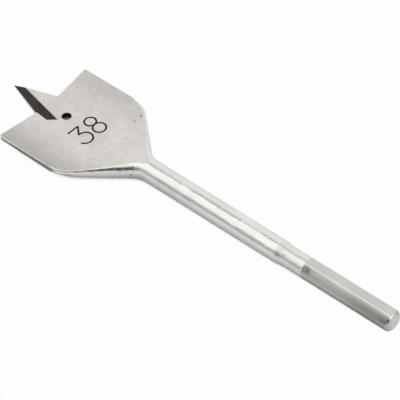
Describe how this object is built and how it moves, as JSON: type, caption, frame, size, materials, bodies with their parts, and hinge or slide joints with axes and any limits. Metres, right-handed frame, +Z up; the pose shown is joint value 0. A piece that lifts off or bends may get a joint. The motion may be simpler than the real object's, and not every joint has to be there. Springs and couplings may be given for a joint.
{
  "type": "spade drill bit",
  "caption": "Flat spade drill bit for wood: wide ground blade with a centre point and a wire hole, round shank and hexagonal tail for a chuck.",
  "frame": {"origin": "on the surface that the bit lies on, under the middle of its length and of its width", "axes": "X along the bit's axis, with the point at -X and the hexagonal tail at +X; Y across the blade; +Z up, square to the blade"},
  "size_m": [0.152, 0.038, 0.0074],
  "materials": {
    "steel": "ground blade, polished shank"
  },
  "bodies": {
    "root": {"spade_bit": "steel"}
  },
  "joints": []
}
